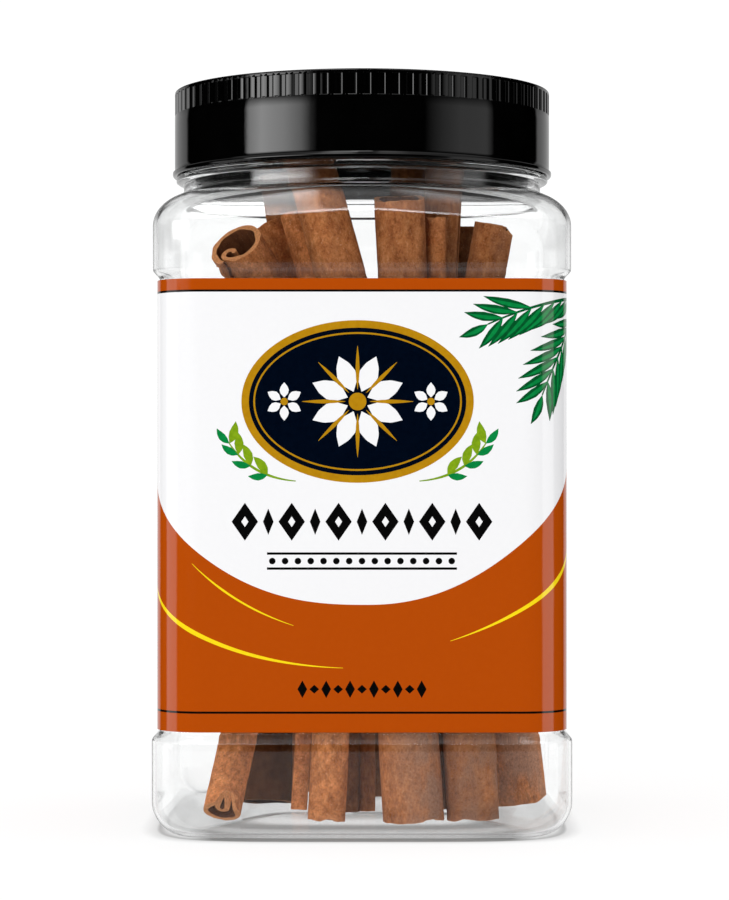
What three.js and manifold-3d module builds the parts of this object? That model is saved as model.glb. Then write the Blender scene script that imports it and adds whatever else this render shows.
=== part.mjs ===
// A clear plastic screw-top jar, filled with loose cinnamon sticks.
//
// Millimetres, +Z up. The origin is the middle of the jar's standing plane, and the
// front of the label looks along -Y. The jar is square in plan with rounded corners
// up to its shoulder, and round at its neck.
//
//   jar              one blown vessel, open at the mouth
//   label            a thin printed sleeve round the recessed panel
//   cap              a ribbed screw lid
//   cinnamon_sticks  the filling: two layers of quills fused on a core that the
//                    label hides, all as one solid

import * as THREE from 'three';
import Module from 'manifold-3d';
import { mergeVertices } from 'three/addons/utils/BufferGeometryUtils.js';

const wasm = await Module();
wasm.setup();

// ---------------------------------------------------------------- driving dimensions

// Jar body, square in plan.
const BODY_WIDTH = 96.7;
const SHOULDER_WIDTH = 96.2;
const PANEL_WIDTH = 93.0;
const CORNER_RADIUS = 12;
const WALL = 0.9;
const GAP = 0.3;

// Heights on the jar.
const BASE_BAND_TOP = 21.9;
const PANEL_BOTTOM = 24.4;
const PANEL_TOP = 127.6;
const SHOULDER_BAND_BOTTOM = 130;
const SHOULDER_SPRING = 140;
const NECK_FOOT = 150.2;
const NECK_RING_TOP = 154.5;
const RIM = 172.7;

// Section of the base: the rounded edge, the standing rim and the push-up inside it.
const BASE_EDGE_RADIUS = 8;
const STANDING_RIM = 2.5;
const PUSH_UP_SLOPE = 2;
const PUSH_UP = 2;

// Section of the shoulder: a quarter ellipse, this far inwards and this far up.
const SHOULDER_REACH = 12;
const SHOULDER_RISE = 9.5;
const SHOULDER_EASING = 1.7;

// Neck.
const NECK_RADIUS = 43.2;
const NECK_RING_RADIUS = 45;
const FINISH_RADIUS = 42.4;
const FINISH_WALL = 1.4;
const RIM_ROUNDING = 0.3;

// Label sleeve.
const LABEL_WIDTH = 94.14;
const LABEL_THICKNESS = 0.27;
const LABEL_BOTTOM = 24.6;
const LABEL_TOP = 127.4;

// Cap.
const CAP_BOTTOM = NECK_RING_TOP + GAP;
const CAP_TOP = 175.2;
const CAP_RADIUS = 45.4;
const CAP_BEAD_RADIUS = 45.9;
const CAP_BEAD_HEIGHT = 1.3;
const CAP_BEAD_BLEND = 0.5;
const CAP_WALL = 1.5;
const CAP_EDGE = 0.8;
const RIB_COUNT = 86;
const RIB_SHARE = 0.64;
const RIB_FLANK = 0.05;
const RIB_DEPTH = 0.5;
const RIB_SETBACK = 0.1;
const RIB_SINK = 0.35;
const RIB_BOTTOM = 169.4;
const RIB_TOP = 174.2;

// Cinnamon quills: bark rolled into a tube.
const STICK_LENGTH = 76;
const BARK = 1.2;
const ROLL_GAP = 0.5;
const SIDES_PER_TURN = 8;
const OPEN_TURNS = 0.94;
const ROLLED_TURNS = 1.5;
const FLOOR = PUSH_UP + WALL + GAP;
const SECOND_LAYER = 80;

// The hidden core that joins the quills.
const CORE_WIDTH = 68;
const CORE_BOTTOM = 34;
const CORE_TOP = 118;

// The quills that stand at the windows, from the left to the right. In the lower layer
// the point is the middle of the foot, in the upper layer the middle of the tip. The
// lean is in degrees from upright, first to the right and then to the back.
const LOWER_STICKS = [
  { at: [-32.2, -36.8, 5.4], lean: [15.7, 36], diameter: 8.8, turns: ROLLED_TURNS, seam: 250 },
  { at: [-23.1, 4.0, 3.6], lean: [1, 12], diameter: 11.6, turns: OPEN_TURNS, seam: 80 },
  { at: [-15.0, -16.0, 3.4], lean: [2.7, 2], diameter: 3.9, turns: OPEN_TURNS, seam: 120 },
  { at: [-8.2, -36.3, 3.4], lean: [3.6, 3], diameter: 8.3, turns: ROLLED_TURNS, seam: 60 },
  { at: [-2.4, -21.4, 3.4], lean: [1, 2], diameter: 3.4, turns: OPEN_TURNS, seam: 0 },
  { at: [1.1, -20.4, 3.4], lean: [0, 2], diameter: 3.2, turns: OPEN_TURNS, seam: 200 },
  { at: [12.1, -37.4, 3.4], lean: [-3.6, 2], diameter: 14.0, turns: ROLLED_TURNS, seam: 40 },
  { at: [25.6, -34.5, 3.4], lean: [-3, 2], diameter: 12.2, turns: ROLLED_TURNS, seam: 110 },
  { at: [39.0, -1.0, 4.2], lean: [-6.5, 0], diameter: 12.4, turns: ROLLED_TURNS, seam: 350 },
];
const UPPER_STICKS = [
  { at: [-28.9, -33.6, 135.9], lean: [-32, -43.8], diameter: 13.4, turns: ROLLED_TURNS, seam: 330 },
  { at: [-21.2, -20.0, 143.2], lean: [-31, 2], diameter: 5.6, turns: OPEN_TURNS, seam: 90 },
  { at: [-16.4, -13.0, 144.4], lean: [-20, 4], diameter: 6.2, turns: OPEN_TURNS, seam: 200 },
  { at: [-12.8, -33.2, 157.0], lean: [-17.4, 6], diameter: 10.4, turns: ROLLED_TURNS, seam: 60 },
  { at: [8.6, -36.6, 146.4], lean: [-1.9, 1], diameter: 11.7, turns: OPEN_TURNS, seam: 90 },
  { at: [17.2, -34.0, 142.3], lean: [0, 1], diameter: 4.8, turns: OPEN_TURNS, seam: 70 },
  { at: [20.0, -20.0, 157.0], lean: [3, 0], diameter: 10.0, turns: ROLLED_TURNS, seam: 30 },
  { at: [25.9, 0.0, 142.9], lean: [1, 0], diameter: 8.0, turns: OPEN_TURNS, seam: 0 },
  { at: [30.7, -34.0, 140.4], lean: [10, -6], diameter: 8.8, turns: ROLLED_TURNS, seam: 70 },
];

// The quills behind them fill these stretches of the floor by a seeded draw.
const LOWER_FILL = {
  seed: 7,
  tries: 900,
  blocks: [
    { x: [6, 36], y: [-28, 8] },
    { x: [-33, 43], y: [8, 43] },
  ],
};
const UPPER_FILL = {
  seed: 23,
  tries: 900,
  blocks: [
    { x: [5, 37], y: [-20, 42] },
    { x: [-31, -6], y: [-2, 42] },
  ],
};
const FILL_DIAMETER = [6.5, 12.5];
const FILL_LEAN = 4;
const FILL_TIP = [129, 141];
const FILL_GAP = 0.5;

// ------------------------------------------------------------------- general helpers

const radians = THREE.MathUtils.degToRad;

// The angles that every ring of the jar is sampled at, closer together at the corners.
const STEPS_PER_OCTANT = 6;
const CROWDING = 1.6;
const RING_ANGLES = ringAngles();

function ringAngles() {
  const octant = Math.PI / 4;
  const angles = [];
  for (let quadrant = 0; quadrant < 4; quadrant++) {
    const start = quadrant * 2 * octant;
    for (let i = 0; i < STEPS_PER_OCTANT; i++) {
      const eased = 1 - (1 - i / STEPS_PER_OCTANT) ** CROWDING;
      angles.push(start + octant * eased);
    }
    for (let i = STEPS_PER_OCTANT; i > 0; i--) {
      const eased = 1 - (1 - i / STEPS_PER_OCTANT) ** CROWDING;
      angles.push(start + octant * (2 - eased));
    }
  }
  return angles;
}

// How far a square with rounded corners reaches from its middle, at an angle.
function squareRadius(half, corner, angle) {
  const across = Math.abs(Math.cos(angle));
  const along = Math.abs(Math.sin(angle));
  const major = Math.max(across, along);
  const minor = Math.min(across, along);
  const straight = half - corner;
  if ((half * minor) / major <= straight) {
    return half / major;
  }
  const offAxis = straight * (major - minor);
  return straight * (major + minor) + Math.sqrt(corner ** 2 - offAxis ** 2);
}

// How deep a point lies inside a square with rounded corners.
function squareInset(half, corner, x, y) {
  const dx = Math.abs(x) - (half - corner);
  const dy = Math.abs(y) - (half - corner);
  const outside = Math.hypot(Math.max(dx, 0), Math.max(dy, 0));
  const inside = Math.min(Math.max(dx, dy), 0);
  return corner - outside - inside;
}

function ring(radiusAt, heightAt) {
  return RING_ANGLES.map((angle) => {
    const radius = radiusAt(angle);
    const x = radius * Math.cos(angle);
    const y = radius * Math.sin(angle);
    return new THREE.Vector3(x, y, heightAt(x, y));
  });
}

function squareRing(half, corner, height) {
  return ring((angle) => squareRadius(half, corner, angle), () => height);
}

function roundRing(radius, height) {
  return ring(() => radius, () => height);
}

// Skins a run of rings. An open run is closed by a fan at each end, and a closed one
// joins its last ring to its first.
function loft(rings, closed = false) {
  const count = RING_ANGLES.length;
  const points = rings.flat();
  const triangles = [];
  const joins = closed ? rings.length : rings.length - 1;
  for (let r = 0; r < joins; r++) {
    const low = r * count;
    const high = ((r + 1) % rings.length) * count;
    for (let i = 0; i < count; i++) {
      const next = (i + 1) % count;
      triangles.push(low + i, low + next, high + next);
      triangles.push(low + i, high + next, high + i);
    }
  }
  if (!closed) {
    const last = (rings.length - 1) * count;
    const firstHub = points.push(new THREE.Vector3(0, 0, rings[0][0].z)) - 1;
    const lastHub = points.push(new THREE.Vector3(0, 0, rings.at(-1)[0].z)) - 1;
    for (let i = 0; i < count; i++) {
      const next = (i + 1) % count;
      triangles.push(firstHub, next, i);
      triangles.push(lastHub, last + i, last + next);
    }
  }
  const geometry = new THREE.BufferGeometry().setFromPoints(points);
  geometry.setIndex(triangles);
  return geometry;
}

function toSolid(geometry) {
  const bare = geometry.clone();
  bare.deleteAttribute('normal');
  bare.deleteAttribute('uv');
  const merged = mergeVertices(bare, 1e-4);
  return new wasm.Manifold(new wasm.Mesh({
    numProp: 3,
    vertProperties: new Float32Array(merged.attributes.position.array),
    triVerts: new Uint32Array(merged.index.array),
  }));
}

function toGeometry(solid) {
  const mesh = solid.getMesh();
  const geometry = new THREE.BufferGeometry();
  geometry.setAttribute('position', new THREE.BufferAttribute(mesh.vertProperties, 3));
  geometry.setIndex(new THREE.BufferAttribute(mesh.triVerts, 1));
  return geometry;
}

function named(name, geometry, look) {
  geometry.computeVertexNormals();
  const mesh = new THREE.Mesh(geometry, new THREE.MeshStandardMaterial(look));
  mesh.name = name;
  return mesh;
}

// ----------------------------------------------------------------------------- jar

// The rings of the body from its standing rim to the foot of its neck, on a surface
// that lies the given depth inside the outer one.
function bodyRings(depth, edgeSteps, shoulderSteps) {
  const edge = BASE_EDGE_RADIUS - depth;
  const rings = [];
  for (let i = 0; i <= edgeSteps; i++) {
    const turn = (Math.PI / 2) * (i / edgeSteps);
    const reach = edge * Math.sin(turn);
    rings.push(squareRing(
      BODY_WIDTH / 2 - BASE_EDGE_RADIUS + reach,
      CORNER_RADIUS - BASE_EDGE_RADIUS + reach,
      BASE_EDGE_RADIUS - edge * Math.cos(turn),
    ));
  }
  rings.push(bandRing(BODY_WIDTH, depth, BASE_BAND_TOP));
  rings.push(bandRing(PANEL_WIDTH, depth, PANEL_BOTTOM));
  rings.push(bandRing(PANEL_WIDTH, depth, PANEL_TOP));
  rings.push(bandRing(SHOULDER_WIDTH, depth, SHOULDER_BAND_BOTTOM));
  rings.push(...shoulderRings(depth, shoulderSteps));
  return rings;
}

function bandCorner(width, depth) {
  return CORNER_RADIUS - (BODY_WIDTH - width) / 2 - depth;
}

function bandRing(width, depth, height) {
  return squareRing(width / 2 - depth, bandCorner(width, depth), height);
}

// The shoulder closes from the square band to the round neck. Its height follows how
// far a point lies inside the band's outline.
function shoulderRings(depth, steps) {
  const half = SHOULDER_WIDTH / 2 - depth;
  const corner = bandCorner(SHOULDER_WIDTH, depth);
  const reach = SHOULDER_REACH - depth;
  const rise = SHOULDER_RISE - depth;
  const neck = NECK_RADIUS - depth;
  const heightAt = (x, y) => {
    const across = Math.max(reach - squareInset(half, corner, x, y), 0) / reach;
    return SHOULDER_SPRING + rise * Math.sqrt(Math.max(1 - across ** 2, 0));
  };
  const rings = [];
  for (let i = 0; i <= steps; i++) {
    const share = (i / steps) ** SHOULDER_EASING;
    const radiusAt = (angle) => {
      return THREE.MathUtils.lerp(squareRadius(half, corner, angle), neck, share);
    };
    rings.push(ring(radiusAt, heightAt));
  }
  return rings;
}

// The clear ring under the cap bulges out in a half round, on both faces of the wall.
function neckRingRings(depth, top) {
  const steps = 3;
  const bulge = NECK_RING_RADIUS - NECK_RADIUS;
  const rings = [];
  for (let i = 0; i <= steps; i++) {
    const turn = (Math.PI / 2) * (i / steps);
    const radius = NECK_RADIUS - depth + bulge * Math.sin(turn);
    rings.push(roundRing(radius, top - (top - NECK_FOOT) * Math.cos(turn)));
  }
  return rings;
}

// The underside of the base, from the middle of the push-up to the standing rim.
function baseRings(depth, standing) {
  const rimHalf = BODY_WIDTH / 2 - BASE_EDGE_RADIUS;
  const rimCorner = CORNER_RADIUS - BASE_EDGE_RADIUS;
  const slopeHalf = rimHalf - STANDING_RIM;
  const slopeCorner = rimCorner;
  return [
    squareRing(slopeHalf - PUSH_UP_SLOPE, slopeCorner, PUSH_UP + depth),
    squareRing(slopeHalf, slopeCorner, standing),
  ];
}

function makeJar() {
  const finishInner = FINISH_RADIUS - FINISH_WALL;
  const outside = [
    ...baseRings(0, 0),
    ...bodyRings(0, 4, 6),
    ...neckRingRings(0, NECK_RING_TOP - 0.6),
    roundRing(NECK_RING_RADIUS - 0.3, NECK_RING_TOP),
    roundRing(FINISH_RADIUS, NECK_RING_TOP),
    roundRing(FINISH_RADIUS, RIM - RIM_ROUNDING),
    roundRing(FINISH_RADIUS - RIM_ROUNDING, RIM),
  ];
  const inside = [
    ...baseRings(WALL, WALL),
    ...bodyRings(WALL, 3, 4),
    ...neckRingRings(WALL, NECK_RING_TOP - 1.6),
    roundRing(finishInner, NECK_RING_TOP + 0.4),
    roundRing(finishInner, RIM - RIM_ROUNDING),
    roundRing(finishInner + RIM_ROUNDING, RIM),
  ];
  return loft([...outside, ...inside.reverse()]);
}

// ---------------------------------------------------------------------------- label

function makeLabel() {
  const outer = (height) => bandRing(LABEL_WIDTH, 0, height);
  const inner = (height) => bandRing(LABEL_WIDTH, LABEL_THICKNESS, height);
  const section = [
    outer(LABEL_BOTTOM),
    outer(LABEL_TOP),
    inner(LABEL_TOP),
    inner(LABEL_BOTTOM),
  ];
  return loft(section, true);
}

// ------------------------------------------------------------------------------ cap

// The lid without its ribs, turned round the jar's axis.
function makeCapShell() {
  const groove = CAP_RADIUS - RIB_DEPTH;
  const inner = CAP_RADIUS - CAP_WALL;
  const beadTop = CAP_BOTTOM + CAP_BEAD_HEIGHT;
  const profile = [
    [0, CAP_TOP - CAP_WALL],
    [inner, CAP_TOP - CAP_WALL],
    [inner, CAP_BOTTOM],
    [CAP_BEAD_RADIUS, CAP_BOTTOM],
    [CAP_BEAD_RADIUS, beadTop],
    [CAP_RADIUS, beadTop + CAP_BEAD_BLEND],
    [CAP_RADIUS, RIB_BOTTOM],
    [groove, RIB_BOTTOM],
    [groove, CAP_TOP - CAP_EDGE],
    [groove - CAP_EDGE, CAP_TOP],
    [0, CAP_TOP],
  ];
  const shell = new THREE.LatheGeometry(
    profile.map(([radius, height]) => new THREE.Vector2(radius, height)),
    RIB_COUNT,
  );
  return shell.rotateX(Math.PI / 2);
}

// All the finger ribs as one toothed ring, which sinks into the shell behind them.
function makeRibs() {
  const trough = CAP_RADIUS - RIB_DEPTH - RIB_SINK;
  const crest = CAP_RADIUS - RIB_SETBACK;
  const pitch = (2 * Math.PI) / RIB_COUNT;
  const points = [];
  for (let i = 0; i < RIB_COUNT; i++) {
    const corners = [
      [trough, i],
      [crest, i + RIB_FLANK],
      [crest, i + RIB_SHARE],
      [trough, i + RIB_SHARE + RIB_FLANK],
    ];
    for (const [radius, turns] of corners) {
      const angle = turns * pitch;
      points.push(new THREE.Vector2(radius * Math.cos(angle), radius * Math.sin(angle)));
    }
  }
  const outline = new THREE.Shape(points);
  const hole = new THREE.Path();
  hole.absarc(0, 0, trough - RIB_SINK, 0, 2 * Math.PI, true);
  outline.holes.push(hole);
  const ribs = new THREE.ExtrudeGeometry(outline, {
    depth: RIB_TOP - RIB_BOTTOM + RIB_SINK,
    bevelEnabled: false,
    curveSegments: RIB_COUNT / 2,
  });
  return ribs.translate(0, 0, RIB_BOTTOM - RIB_SINK);
}

function makeCap() {
  return toGeometry(toSolid(makeCapShell()).add(toSolid(makeRibs())));
}

// ------------------------------------------------------------------ cinnamon sticks

// A plain repeatable random draw from 0 to 1.
function makeDraw(seed) {
  let state = seed;
  return () => {
    state = (Math.imul(state, 1664525) + 1013904223) >>> 0;
    return state / 2 ** 32;
  };
}

// The way a stick points, from its foot to its tip.
function stickAxis(stick) {
  const [right, back] = stick.lean.map((angle) => Math.tan(radians(angle)));
  return new THREE.Vector3(right, back, 1).normalize();
}

// Where a stick's middle line passes a height.
function axisAt(stick, height) {
  const axis = stickAxis(stick);
  const run = (height - stick.foot.z) / axis.z;
  return stick.foot.clone().addScaledVector(axis, run);
}

function fromFoot(stick) {
  return { ...stick, length: STICK_LENGTH, foot: new THREE.Vector3(...stick.at) };
}

function fromTip(stick) {
  const tip = new THREE.Vector3(...stick.at);
  const foot = tip.addScaledVector(stickAxis(stick), -STICK_LENGTH);
  return { ...stick, length: STICK_LENGTH, foot };
}

function isClear(stick, others) {
  const levels = 6;
  const top = stick.foot.z + stick.length;
  for (const other of others) {
    const otherAxis = stickAxis(other);
    const otherTop = other.foot.z + other.length * otherAxis.z;
    const reach = (stick.diameter + other.diameter / otherAxis.z) / 2 + FILL_GAP;
    for (let i = 0; i <= levels; i++) {
      const height = THREE.MathUtils.lerp(stick.foot.z, top, i / levels);
      const level = height >= other.foot.z && height <= otherTop;
      if (level && axisAt(stick, height).distanceTo(axisAt(other, height)) < reach) {
        return false;
      }
    }
  }
  return true;
}

// Adds upright quills between the ones that are there, wherever a draw finds room.
function fill(sticks, rule, floor, lengthFor) {
  const draw = makeDraw(rule.seed);
  const between = ([low, high]) => low + (high - low) * draw();
  const all = [...sticks];
  for (let i = 0; i < rule.tries; i++) {
    const block = rule.blocks[i % rule.blocks.length];
    const diameter = between(FILL_DIAMETER);
    const x = between([block.x[0] + diameter / 2, block.x[1] - diameter / 2]);
    const y = between([block.y[0] + diameter / 2, block.y[1] - diameter / 2]);
    const candidate = {
      foot: new THREE.Vector3(x, y, floor),
      lean: [between([-FILL_LEAN, FILL_LEAN]), between([-FILL_LEAN, 0])],
      length: lengthFor(draw()),
      diameter,
      turns: OPEN_TURNS,
      seam: 360 * draw(),
    };
    if (isClear(candidate, all)) {
      all.push(candidate);
    }
  }
  return all;
}

// The section of a rolled sheet of bark: its outer edge in, and its inner edge back.
function rollOutline(stick) {
  const bark = Math.min(BARK, stick.diameter / 4);
  const steps = Math.round(stick.turns * SIDES_PER_TURN);
  const drift = stick.turns > 1 ? bark + ROLL_GAP : 0;
  const edge = (inward) => {
    const points = [];
    for (let i = 0; i <= steps; i++) {
      const turned = (stick.turns * i) / steps;
      const radius = stick.diameter / 2 - drift * turned - inward;
      const angle = radians(stick.seam) + 2 * Math.PI * turned;
      points.push(new THREE.Vector2(radius * Math.cos(angle), radius * Math.sin(angle)));
    }
    return points;
  };
  return new THREE.Shape([...edge(0), ...edge(bark).reverse()]);
}

function makeStick(stick) {
  const quill = new THREE.ExtrudeGeometry(rollOutline(stick), {
    depth: stick.length,
    bevelEnabled: false,
  });
  const upright = new THREE.Vector3(0, 0, 1);
  const turn = new THREE.Quaternion().setFromUnitVectors(upright, stickAxis(stick));
  return quill.applyQuaternion(turn).translate(stick.foot.x, stick.foot.y, stick.foot.z);
}

function makeCore() {
  const corner = CORNER_RADIUS;
  return loft([
    squareRing(CORE_WIDTH / 2, corner, CORE_BOTTOM),
    squareRing(CORE_WIDTH / 2, corner, CORE_TOP),
  ]);
}

// The space inside the jar that the sticks may take.
function makeFreeSpace() {
  const clear = WALL + GAP;
  return loft([
    ...baseRings(clear, clear).slice(0, 1),
    ...bodyRings(clear, 3, 4),
    roundRing(NECK_RADIUS - clear, NECK_FOOT),
    roundRing(FINISH_RADIUS - FINISH_WALL - GAP, NECK_RING_TOP),
    roundRing(FINISH_RADIUS - FINISH_WALL - GAP, RIM - GAP),
  ]);
}

function makeSticks() {
  const lowerLength = () => STICK_LENGTH;
  const tipHeight = (share) => THREE.MathUtils.lerp(...FILL_TIP, share);
  const upperLength = (share) => tipHeight(share) - SECOND_LAYER;
  const lower = fill(LOWER_STICKS.map(fromFoot), LOWER_FILL, FLOOR, lowerLength);
  const upper = fill(UPPER_STICKS.map(fromTip), UPPER_FILL, SECOND_LAYER, upperLength);
  let heap = toSolid(makeCore());
  for (const stick of [...lower, ...upper]) {
    heap = heap.add(toSolid(makeStick(stick)));
  }
  heap = heap.intersect(toSolid(makeFreeSpace()));
  return toGeometry(largestBody(heap));
}

// Drops loose scraps, and fills hollows that the fusing has sealed.
function largestBody(solid) {
  const bodies = solid.decompose();
  bodies.sort((a, b) => b.volume() - a.volume());
  return bodies[0];
}

// --------------------------------------------------------------------------- object

const object = new THREE.Group();
object.add(named('jar', makeJar(), {
  color: 0xf2f5f5,
  roughness: 0.05,
  metalness: 0,
  transparent: true,
  opacity: 0.3,
}));
object.add(named('label', makeLabel(), { color: 0xb3480a, roughness: 0.4, metalness: 0 }));
object.add(named('cap', makeCap(), { color: 0x0a0a0b, roughness: 0.3, metalness: 0 }));
object.add(named('cinnamon_sticks', makeSticks(), {
  color: 0x9b6342,
  roughness: 0.85,
  metalness: 0,
}));

export default object;
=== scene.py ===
"""Looks of a clear screw-top jar of cinnamon sticks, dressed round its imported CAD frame.

Shapes are worked out in millimetres in the CAD's frame and become metres in new_piece().
The jar, the label, the lid and the quills are each modelled finer than their solids, from
the same driving sizes, and replace them.
"""

from math import atan2, copysign, cos, degrees, floor, hypot, pi, radians, sin, sqrt, tan

import bpy
import numpy as np
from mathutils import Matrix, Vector, geometry, noise


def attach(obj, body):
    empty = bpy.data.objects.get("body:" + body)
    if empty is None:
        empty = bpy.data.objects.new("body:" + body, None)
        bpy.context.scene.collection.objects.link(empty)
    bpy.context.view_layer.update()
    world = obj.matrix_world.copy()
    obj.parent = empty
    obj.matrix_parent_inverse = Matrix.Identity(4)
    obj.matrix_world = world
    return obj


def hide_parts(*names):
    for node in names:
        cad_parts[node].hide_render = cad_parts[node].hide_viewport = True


MM = 0.001
TAU = 2 * pi

# --- driving sizes, mm

BODY_WIDTH = 96.7
SHOULDER_WIDTH = 96.2
PANEL_WIDTH = 93.0
CORNER_RADIUS = 12.0
WALL = 0.9
GAP = 0.3

BASE_BAND_TOP = 21.9
PANEL_BOTTOM = 24.4
PANEL_TOP = 127.6
SHOULDER_BAND_BOTTOM = 130.0
SHOULDER_SPRING = 140.0
NECK_FOOT = 149.6
NECK_RING_FOOT = 153.1
NECK_RING_TOP = 154.5
RIM = 172.7

BASE_BAND_LEVELS = (12.5, 16.0, 19.0)
SHOULDER_BAND_LEVELS = (133.0, 136.0)

BASE_EDGE_RADIUS = 8.0
PUSH_UP = 2.0
DOME_FLAT = 0.45
STEP_OFFSET = 0.5

NECK_RADIUS = 43.2
NECK_RING_RADIUS = 45.0
NECK_RING_FOOT_ROUND = 0.6
FINISH_RADIUS = 42.4
FINISH_WALL = 1.4

LABEL_WIDTH = 94.14
LABEL_THICKNESS = 0.27
LABEL_BOTTOM = 24.6
LABEL_TOP = 127.4

CAP_BOTTOM = NECK_RING_TOP + GAP
CAP_TOP = 175.2
CAP_RADIUS = 45.4
CAP_EDGE = 0.35
CAP_BEAD_RADIUS = 45.9
CAP_BEAD_TOP = 156.1
CAP_WALL = 1.5
HUB_RADIUS = 0.6
RIB_COUNT = 86
RIB_STEPS = 16
RIB_SHARE = 0.64
RIB_FLANK = 0.09
RIB_DEPTH = 0.5
RIB_CROWN = 0.12
RIB_BOTTOM = 169.4
RIB_TOP = 174.3

# The bead at the cap's foot: heights, and how far inside the bead's radius each lies.
CAP_BEAD = [
    (155.9, 0.1), (155.82, 0.02), (155.7, 0.0), (155.3, 0.0), (155.1, 0.06), (154.92, 0.2),
]

STICK_LENGTH = 76.0
BARK = 1.2
FLOOR = PUSH_UP + WALL + GAP
SECOND_LAYER = 80.0

# The quills at the windows: the middle of the foot in the lower layer and of the tip in
# the upper one, the lean in degrees to the right and to the back, the diameter, the way
# the bark is rolled, the angle of its free edge, and what else sets it apart. A dip is a
# stretch of broken rim, as its angle, half its spread and its depth.
# A quill's tone is partly its bark's own colour and partly painted light and shade: it is set low
# for quills that lie behind others and high for front quills on the lit side.
OPEN, CURLED, DOUBLE = "open", "curled", "double"
LOWER_STICKS = [
    (
        (-32.2, -36.8, 5.4), (11.0, 36.0), 8.8, DOUBLE, 268,
        dict(foot_dip=(280, 32, 3.4), hook=(0.42, 0.40), bark=1.3, tone_and_shade=0.78, grey=0.15),
    ),
    ((-23.3, -2.0, 3.6), (1.0, 12.0), 13.2, OPEN, 20, dict(tone_and_shade=0.0, ragged=0.1)),
    ((-15.0, -16.0, 3.4), (2.7, 2.0), 4.0, OPEN, 120, dict(tone_and_shade=0.72, grey=0.1)),
    (
        (-8.2, -36.3, 3.4), (3.6, 3.0), 8.9, DOUBLE, 60,
        dict(foot_dip=(280, 18, 0.6), tone_and_shade=0.64, grey=0.1),
    ),
    ((-2.6, -21.4, 3.4), (1.0, 2.0), 4.0, OPEN, 0, dict(tone_and_shade=0.14)),
    ((1.2, -20.4, 3.4), (0.0, 2.0), 3.8, OPEN, 200, dict(tone_and_shade=0.28)),
    (
        (12.6, -36.6, 3.4), (-3.0, 2.0), 15.3, CURLED, 40,
        dict(foot_dip=(300, 18, 0.7), tone_and_shade=0.52, grey=1.0, grey_side=335),
    ),
    (
        (25.8, -34.3, 3.4), (-3.0, 2.0), 13.2, CURLED, 110,
        dict(foot_dip=(250, 20, 0.6), tone_and_shade=0.37, grey=0.8, grey_side=290),
    ),
    (
        (38.9, -1.0, 3.6), (-7.8, 0.0), 15.4, CURLED, 75,
        dict(foot_dip=(350, 40, 0.9), tone_and_shade=0.74, grey=0.9, grey_side=285),
    ),
]
UPPER_STICKS = [
    (
        (-28.9, -33.6, 135.9), (-32.0, -43.8), 13.6, CURLED, 208,
        dict(flip=True, bark=1.3, hook=(0.5, 0.24), ragged=0.1, tone_and_shade=0.60),
    ),
    ((-22.0, -14.5, 142.6), (-27.0, 2.0), 8.8, OPEN, 90, dict(tone_and_shade=0.5, grey=0.0)),
    ((-16.2, -20.5, 144.6), (-17.0, 4.0), 7.2, OPEN, 200, dict(tone_and_shade=0.62, grey=0.0)),
    ((-12.0, -33.2, 157.0), (-15.6, 6.0), 12.8, CURLED, 60, dict(tone_and_shade=0.42, grey=0.1)),
    (
        (8.6, -36.6, 147.5), (-1.9, 1.0), 11.7, OPEN, 90,
        dict(tip_dip=(268, 100, 2.3), tone_and_shade=0.36, grey=0.1),
    ),
    ((17.2, -34.0, 142.3), (0.0, 1.0), 4.8, OPEN, 70, dict(tip_dip=(230, 30, 0.8), tone_and_shade=0.4)),
    ((20.0, -20.0, 157.0), (3.0, 0.0), 10.0, CURLED, 30, dict(tone_and_shade=0.35)),
    ((25.9, 0.0, 142.9), (1.0, 0.0), 8.0, OPEN, 0, dict(tone_and_shade=0.1)),
    (
        (31.0, -34.0, 140.6), (10.0, -6.0), 10.2, CURLED, 70,
        dict(tip_dip=(345, 60, 1.7), tone_and_shade=0.31, grey=0.4),
    ),
    ((-20.5, -4.0, 156.0), (-9.0, 4.0), 9.0, OPEN, 90, dict(tone_and_shade=0.3)),
    ((11.5, -12.0, 158.5), (2.0, -2.0), 9.4, OPEN, 90, dict(tone_and_shade=0.3)),
]

# The quills behind them, drawn by the same rule as in the solids: blocks of the plan as
# (from, to) in x and in y, and how far right a quill may reach in the front and rear half.
LOWER_FILL = {
    "seed": 7,
    "floor": FLOOR,
    "lengths": (STICK_LENGTH, STICK_LENGTH),
    "blocks": [((6, 36), (-28, 8)), ((-33, 43), (8, 43))],
    "right_edges": (34.0, 40.0),
}
UPPER_FILL = {
    "seed": 23,
    "floor": SECOND_LAYER,
    "lengths": (49.0, 61.0),
    "blocks": [((5, 37), (-20, 42)), ((-31, -6), (-2, 42))],
    "right_edges": (34.5, 34.5),
}
FILL_TRIES = 900
FILL_DIAMETER = (6.5, 12.5)
FILL_LEAN = 4.0
FILL_GAP = 0.5

# The heights that the label leaves open, and how finely the quills are modelled: points
# along the bark's section, steps up the quill at a window and away from it, and the range
# its tone is drawn from. The rear rows' dark range is painted shade for quills deep in the
# heap.
LOWER_WINDOW = (0.0, 30.0)
UPPER_WINDOW = (122.0, 160.0)
FRONT_ROW = {"count": 60, "steps": (0.7, 8.0), "tones_and_shades": (0.4, 0.6)}
REAR_ROWS = {"count": 34, "steps": (2.0, 12.0), "tones_and_shades": (0.02, 0.16)}

# How far along a quill its broken rim is felt, how far the rim stands out at the most,
# how much a quill bows and swells, and how rough its skin is in broad waves and fine ones.
RIM_REACH = 9.0
RIM_LIMIT = 0.35
BOW = 0.8
SWELL = 0.015
BROAD_RELIEF = 0.15
FINE_RELIEF = 0.07

# Painted shade: the quills by the rear wall are painted less dark than the ones in the
# middle of the heap, and tips that stand up into the neck are painted darker between these
# heights, as the lid's shade.
REAR_FROM = 24.0
REAR_SHADE_LIFT = 0.28
LID_SHADE = (147.0, 149.2)

# --- light and camera

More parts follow.
